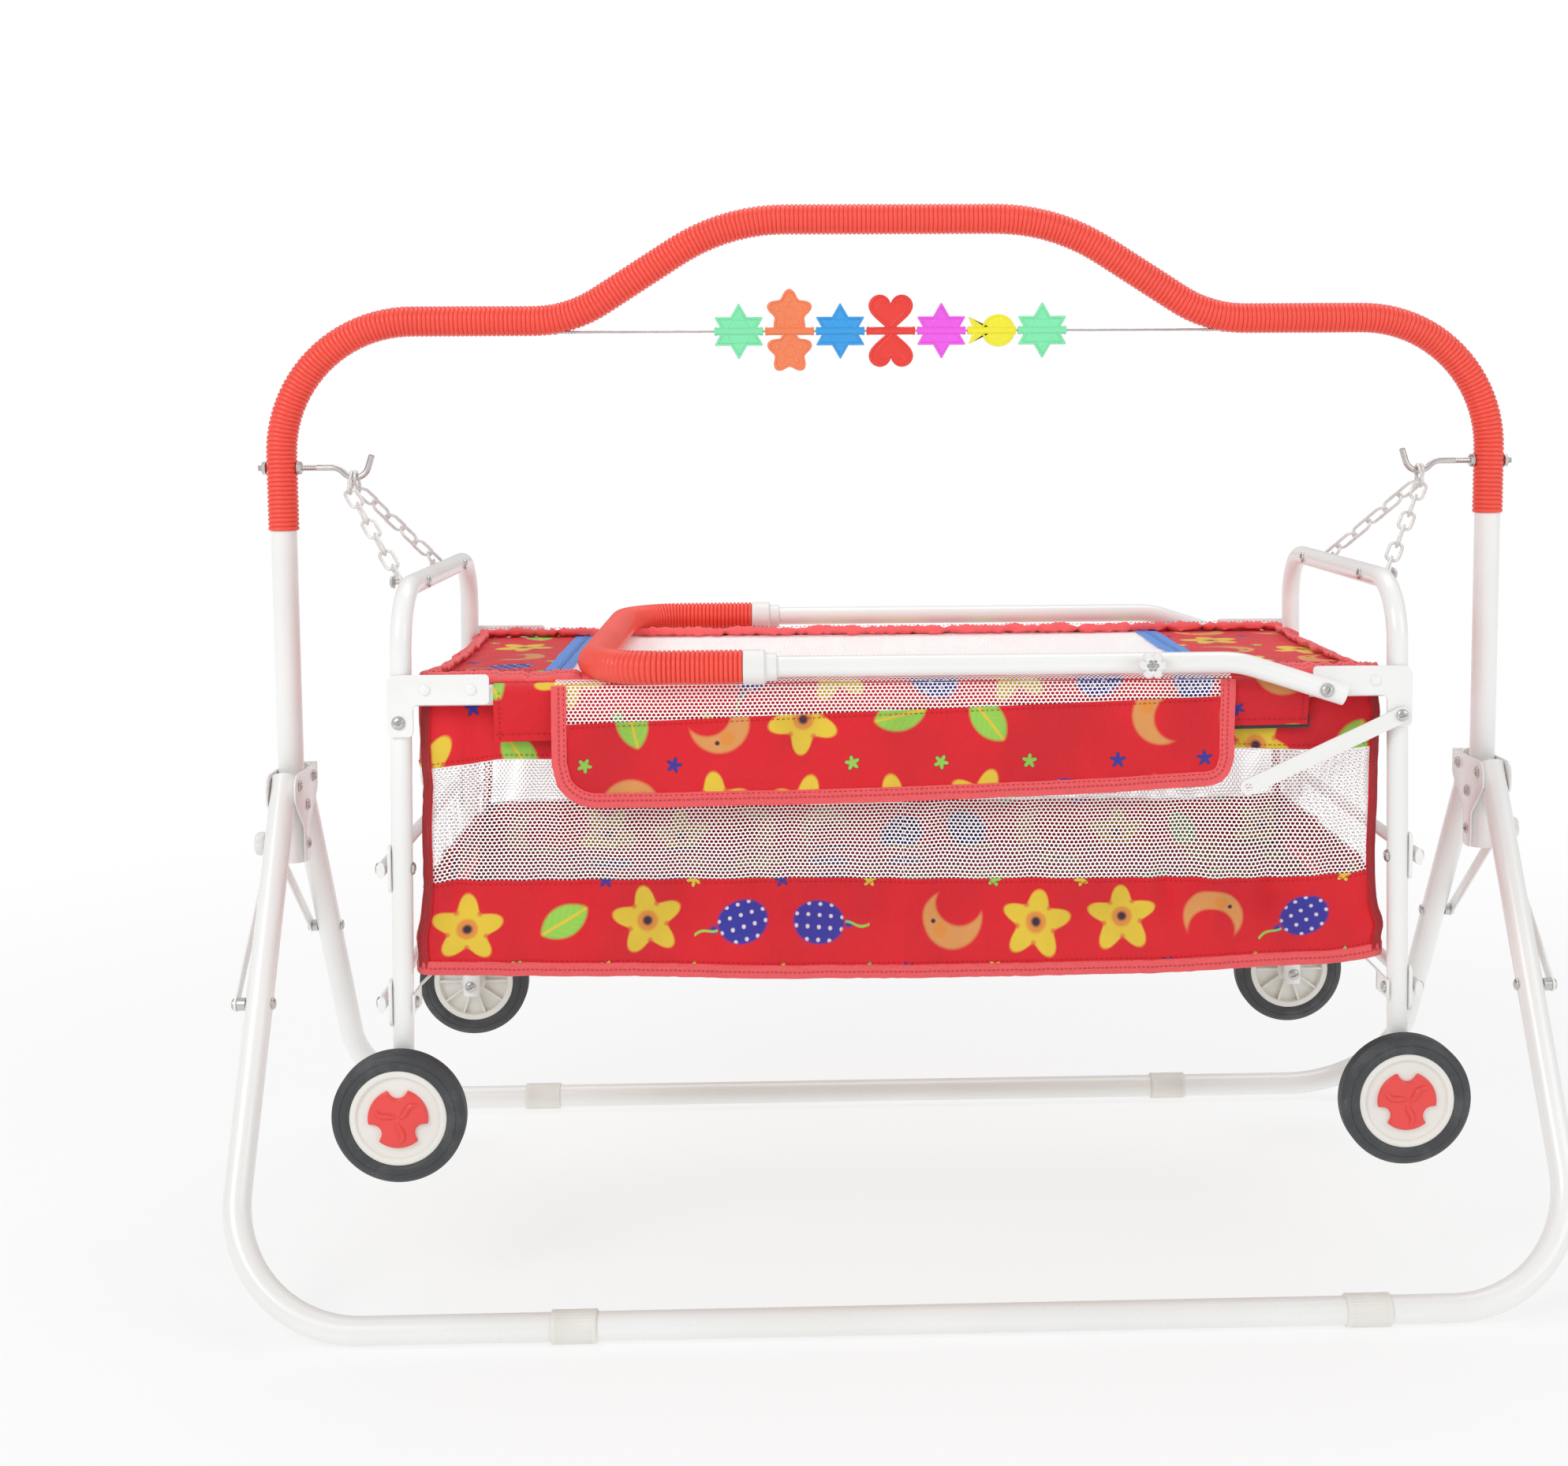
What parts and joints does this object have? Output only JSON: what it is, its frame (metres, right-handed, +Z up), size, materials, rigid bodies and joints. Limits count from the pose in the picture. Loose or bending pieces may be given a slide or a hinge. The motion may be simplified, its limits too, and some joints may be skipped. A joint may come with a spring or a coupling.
{
  "type": "swing_cradle_with_net",
  "caption": "Swing cradle: folding tube stand with a humped, sleeved arch, net-sided cloth bed hung on chains, wheels, push handle and turning toys",
  "frame": {"origin": "centre of the whole object's box, on the floor", "axes": "+X to the right seen from the front, along the bed; +Y to the rear, away from the flap; +Z up"},
  "size_m": [1.2734, 0.6354, 1.0118],
  "materials": {
    "white_enamel": "gloss enamel",
    "zinc": "zinc plated",
    "coral_plastic": "semi gloss",
    "cream_plastic": "satin",
    "red_print_cloth": "printed satin weave",
    "white_net": "knitted net",
    "black_rubber": "matt",
    "bed_board": "bare board",
    "green_plastic": "gloss",
    "orange_plastic": "gloss",
    "blue_plastic": "gloss",
    "red_plastic": "gloss",
    "magenta_plastic": "gloss",
    "yellow_plastic": "gloss"
  },
  "bodies": {
    "root": {"arch_tube": "white_enamel", "arch_sleeve": "coral_plastic", "left_leg_bracket": "white_enamel", "right_leg_bracket": "white_enamel", "left_hook": "zinc", "right_hook": "zinc", "toy_wire": "zinc", "left_brace_knob": "cream_plastic", "right_brace_knob": "cream_plastic"},
    "front_leg_frame": {"front_left_leg_tube": "white_enamel", "front_right_leg_tube": "white_enamel", "front_base_tube": "white_enamel", "front_left_coupler": "cream_plastic", "front_right_coupler": "cream_plastic"},
    "front_left_brace": {"front_left_brace": "white_enamel"},
    "front_right_brace": {"front_right_brace": "white_enamel"},
    "rear_leg_frame": {"rear_left_leg_tube": "white_enamel", "rear_right_leg_tube": "white_enamel", "rear_base_tube": "white_enamel", "rear_left_coupler": "cream_plastic", "rear_right_coupler": "cream_plastic"},
    "rear_left_brace": {"rear_left_brace": "white_enamel"},
    "rear_right_brace": {"rear_right_brace": "white_enamel"},
    "toy_star_green_left": {"toy_star_green_left": "green_plastic"},
    "toy_flower_orange": {"toy_flower_orange": "orange_plastic"},
    "toy_star_blue": {"toy_star_blue": "blue_plastic"},
    "toy_heart_red": {"toy_heart_red": "red_plastic"},
    "toy_star_magenta": {"toy_star_magenta": "magenta_plastic"},
    "toy_fish_yellow": {"toy_fish_yellow": "yellow_plastic"},
    "toy_star_green_right": {"toy_star_green_right": "green_plastic"},
    "cradle": {"left_end_frame": "white_enamel", "right_end_frame": "white_enamel", "front_rail": "white_enamel", "rear_rail": "white_enamel", "base_frame": "bed_board", "bed_cloth": "red_print_cloth", "net_cover": "white_net", "front_left_corner_plate": "white_enamel", "rear_left_corner_plate": "white_enamel", "front_right_corner_plate": "white_enamel", "rear_right_corner_plate": "white_enamel", "front_left_chain": "zinc", "rear_left_chain": "zinc", "front_right_chain": "zinc", "rear_right_chain": "zinc"},
    "front_left_wheel_set": {"front_left_tyre": "black_rubber", "front_left_wheel": "cream_plastic"},
    "rear_left_wheel_set": {"rear_left_tyre": "black_rubber", "rear_left_wheel": "cream_plastic"},
    "front_right_wheel_set": {"front_right_tyre": "black_rubber", "front_right_wheel": "cream_plastic"},
    "rear_right_wheel_set": {"rear_right_tyre": "black_rubber", "rear_right_wheel": "cream_plastic"},
    "handle": {"handle_tube": "white_enamel", "handle_grip": "coral_plastic"},
    "front_stay": {"front_stay": "white_enamel"},
    "rear_stay": {"rear_stay": "white_enamel"},
    "flap": {"net_flap": "red_print_cloth"},
    "left_zip_slider": {"left_zip_slider": "zinc"},
    "right_zip_slider": {"right_zip_slider": "zinc"}
  },
  "joints": [
    {"name": "front_leg_fold", "type": "hinge", "parent": "root", "child": "front_leg_frame", "pos_m": [0, -0.03, 0.445], "axis": [1, 0, 0], "range_deg": [0, 32]},
    {"name": "front_left_brace_fold", "type": "hinge", "parent": "front_leg_frame", "child": "front_left_brace", "pos_m": [-0.6, -0.14674, 0.261], "axis": [1, 0, 0], "range_deg": [0, 17.9]},
    {"name": "front_right_brace_fold", "type": "hinge", "parent": "front_leg_frame", "child": "front_right_brace", "pos_m": [0.6, -0.14674, 0.261], "axis": [1, 0, 0], "range_deg": [0, 17.9]},
    {"name": "rear_leg_fold", "type": "hinge", "parent": "root", "child": "rear_leg_frame", "pos_m": [0, 0.03, 0.445], "axis": [-1, 0, 0], "range_deg": [0, 32]},
    {"name": "rear_left_brace_fold", "type": "hinge", "parent": "rear_leg_frame", "child": "rear_left_brace", "pos_m": [-0.6, 0.14674, 0.261], "axis": [-1, 0, 0], "range_deg": [0, 17.9]},
    {"name": "rear_right_brace_fold", "type": "hinge", "parent": "rear_leg_frame", "child": "rear_right_brace", "pos_m": [0.6, 0.14674, 0.261], "axis": [-1, 0, 0], "range_deg": [0, 17.9]},
    {"name": "toy_star_green_left_spin", "type": "hinge", "parent": "root", "child": "toy_star_green_left", "pos_m": [-0.15, 0, 0.888], "axis": [1, 0, 0], "continuous": true},
    {"name": "toy_flower_orange_spin", "type": "hinge", "parent": "root", "child": "toy_flower_orange", "pos_m": [-0.1, 0, 0.888], "axis": [1, 0, 0], "continuous": true},
    {"name": "toy_star_blue_spin", "type": "hinge", "parent": "root", "child": "toy_star_blue", "pos_m": [-0.05, 0, 0.888], "axis": [1, 0, 0], "continuous": true},
    {"name": "toy_heart_red_spin", "type": "hinge", "parent": "root", "child": "toy_heart_red", "pos_m": [0, 0, 0.888], "axis": [1, 0, 0], "continuous": true},
    {"name": "toy_star_magenta_spin", "type": "hinge", "parent": "root", "child": "toy_star_magenta", "pos_m": [0.05, 0, 0.888], "axis": [1, 0, 0], "continuous": true},
    {"name": "toy_fish_yellow_spin", "type": "hinge", "parent": "root", "child": "toy_fish_yellow", "pos_m": [0.1, 0, 0.888], "axis": [1, 0, 0], "continuous": true},
    {"name": "toy_star_green_right_spin", "type": "hinge", "parent": "root", "child": "toy_star_green_right", "pos_m": [0.15, 0, 0.888], "axis": [1, 0, 0], "continuous": true},
    {"name": "cradle_swing", "type": "hinge", "parent": "root", "child": "cradle", "pos_m": [0, 0, 0.74657], "axis": [1, 0, 0], "range_deg": [-15, 15]},
    {"name": "front_left_wheel_spin", "type": "hinge", "parent": "cradle", "child": "front_left_wheel_set", "pos_m": [-0.458, -0.2207, 0.178], "axis": [0, 1, 0], "continuous": true},
    {"name": "rear_left_wheel_spin", "type": "hinge", "parent": "cradle", "child": "rear_left_wheel_set", "pos_m": [-0.458, 0.2207, 0.178], "axis": [0, 1, 0], "continuous": true},
    {"name": "front_right_wheel_spin", "type": "hinge", "parent": "cradle", "child": "front_right_wheel_set", "pos_m": [0.458, -0.2207, 0.178], "axis": [0, 1, 0], "continuous": true},
    {"name": "rear_right_wheel_spin", "type": "hinge", "parent": "cradle", "child": "rear_right_wheel_set", "pos_m": [0.458, 0.2207, 0.178], "axis": [0, 1, 0], "continuous": true},
    {"name": "handle_raise", "type": "hinge", "parent": "cradle", "child": "handle", "pos_m": [0.378, 0, 0.558], "axis": [0, 1, 0], "range_deg": [0, 24]},
    {"name": "front_stay_turn", "type": "hinge", "parent": "cradle", "child": "front_stay", "pos_m": [0.452, 0, 0.532], "axis": [0, 1, 0], "range_deg": [-20, 24]},
    {"name": "rear_stay_turn", "type": "hinge", "parent": "cradle", "child": "rear_stay", "pos_m": [0.452, 0, 0.532], "axis": [0, 1, 0], "range_deg": [-20, 24]},
    {"name": "net_flap_lift", "type": "hinge", "parent": "cradle", "child": "flap", "pos_m": [0, -0.2113, 0.565], "axis": [-1, 0, 0], "range_deg": [0, 60]},
    {"name": "left_zip_slide", "type": "slide", "parent": "cradle", "child": "left_zip_slider", "axis": [0, 1, 0], "range_m": [0, 0.32]},
    {"name": "right_zip_slide", "type": "slide", "parent": "cradle", "child": "right_zip_slider", "axis": [0, 1, 0], "range_m": [0, 0.32]}
  ],
  "couplings": [
    {"joint": "front_left_brace_fold", "follows": "front_leg_fold", "ratio": 0.5585},
    {"joint": "front_right_brace_fold", "follows": "front_leg_fold", "ratio": 0.5585},
    {"joint": "rear_left_brace_fold", "follows": "rear_leg_fold", "ratio": 0.5585},
    {"joint": "rear_right_brace_fold", "follows": "rear_leg_fold", "ratio": 0.5585}
  ]
}
